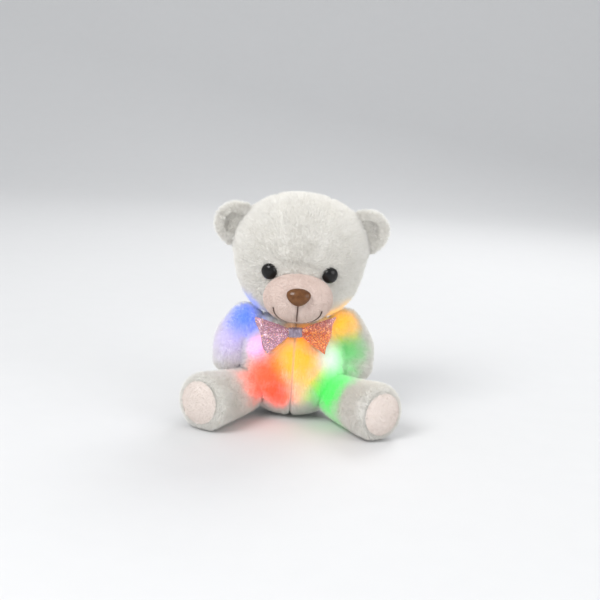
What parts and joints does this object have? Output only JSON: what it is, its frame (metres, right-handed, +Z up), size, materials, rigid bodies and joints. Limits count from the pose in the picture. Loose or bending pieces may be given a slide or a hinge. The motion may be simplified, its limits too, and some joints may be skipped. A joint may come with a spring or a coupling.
{
  "type": "teddy bear",
  "caption": "Sitting ivory plush teddy bear with short ears, beige muzzle and soles, brown nose, a glitter bow and coloured lights glowing through its body",
  "frame": {"origin": "on the floor, under the middle of the body: the middle of the flat that the body sits on", "axes": "+Z up; the bear faces -Y; its left side is +X"},
  "size_m": [0.1862, 0.1294, 0.196],
  "materials": {
    "plush": "short ivory plush pile",
    "stuffing": "loose white polyester fibre",
    "velvet": "short beige pink velvet pile",
    "eye": "polished black",
    "nose": "polished dark brown",
    "washer": "plain white",
    "tape": "hook and loop tape",
    "lining": "plain woven lining",
    "thread": "waxed sewing thread",
    "bow_mesh": "mauve mesh with glitter",
    "bow_knot": "silver grey satin ribbon",
    "box": "moulded grey",
    "contact_steel": "bright plated steel",
    "cell": "stainless can",
    "board": "green solder mask",
    "switch": "black moulding",
    "button": "red moulding",
    "cable": "clear sleeve over copper",
    "yellow_lamp": "lit yellow diode",
    "blue_lamp": "lit blue diode",
    "pink_lamp": "lit pink diode",
    "orange_lamp": "lit orange diode",
    "white_lamp": "lit white diode",
    "green_lamp": "lit green diode",
    "red_lamp": "lit red diode"
  },
  "bodies": {
    "body": {"body_skin": "plush", "body_stuffing": "stuffing", "placket": "lining", "loop_tape": "tape", "bow_ribbon": "bow_mesh", "bow_knot": "bow_knot", "battery_box": "box", "battery_cover": "box", "cover_screw": "contact_steel", "battery_spring": "contact_steel", "battery_plate": "contact_steel", "button_cell_1": "cell", "button_cell_2": "cell", "button_cell_3": "cell", "circuit_board": "board", "switch_body": "switch", "lamp_cable": "cable", "yellow_lamp": "yellow_lamp", "blue_lamp": "blue_lamp", "pink_lamp": "pink_lamp", "orange_lamp": "orange_lamp", "white_lamp": "white_lamp", "green_lamp": "green_lamp", "red_lamp": "red_lamp"},
    "neck": {"neck_seam": "thread"},
    "head": {"head_skin": "plush", "head_stuffing": "stuffing", "muzzle": "velvet", "nose": "nose", "nose_washer": "washer", "left_eye": "eye", "right_eye": "eye", "left_eye_washer": "washer", "right_eye_washer": "washer", "left_ear": "plush", "right_ear": "plush"},
    "left_arm": {"left_arm_skin": "plush", "left_arm_stuffing": "stuffing"},
    "left_leg": {"left_leg_skin": "plush", "left_leg_stuffing": "stuffing", "left_sole": "velvet"},
    "right_arm": {"right_arm_skin": "plush", "right_arm_stuffing": "stuffing"},
    "right_leg": {"right_leg_skin": "plush", "right_leg_stuffing": "stuffing", "right_sole": "velvet"},
    "flap": {"back_flap": "plush", "hook_tape": "tape"},
    "button": {"push_button": "button"}
  },
  "joints": [
    {"name": "head_nod", "type": "hinge", "parent": "body", "child": "neck", "pos_m": [0, 0, 0.08], "axis": [1, 0, 0], "range_deg": [-10, 8], "stiffness_Nm_per_rad": 0.6},
    {"name": "head_turn", "type": "hinge", "parent": "neck", "child": "head", "pos_m": [0, 0, 0.08], "axis": [0, 0, 1], "range_deg": [-15, 15], "stiffness_Nm_per_rad": 0.4},
    {"name": "left_arm_raise", "type": "hinge", "parent": "body", "child": "left_arm", "pos_m": [0.044, 0.006, 0.08], "axis": [0, -1, 0], "range_deg": [0, 60], "stiffness_Nm_per_rad": 0.05},
    {"name": "right_arm_raise", "type": "hinge", "parent": "body", "child": "right_arm", "pos_m": [-0.044, 0.006, 0.08], "axis": [0, 1, 0], "range_deg": [0, 60], "stiffness_Nm_per_rad": 0.05},
    {"name": "left_leg_lift", "type": "hinge", "parent": "body", "child": "left_leg", "pos_m": [0.044, -0.022, 0.022], "axis": [-0.8192, -0.5736, 0], "range_deg": [-12, 12], "stiffness_Nm_per_rad": 0.15},
    {"name": "right_leg_lift", "type": "hinge", "parent": "body", "child": "right_leg", "pos_m": [-0.044, -0.022, 0.022], "axis": [-0.8192, 0.5736, 0], "range_deg": [-12, 12], "stiffness_Nm_per_rad": 0.15},
    {"name": "flap_open", "type": "hinge", "parent": "body", "child": "flap", "pos_m": [0, 0.04206, 0.064], "axis": [1, 0, 0], "range_deg": [0, 80]},
    {"name": "button_press", "type": "slide", "parent": "body", "child": "button", "axis": [0, -1, 0], "range_m": [0, 0.001], "stiffness_N_per_m": 800}
  ]
}
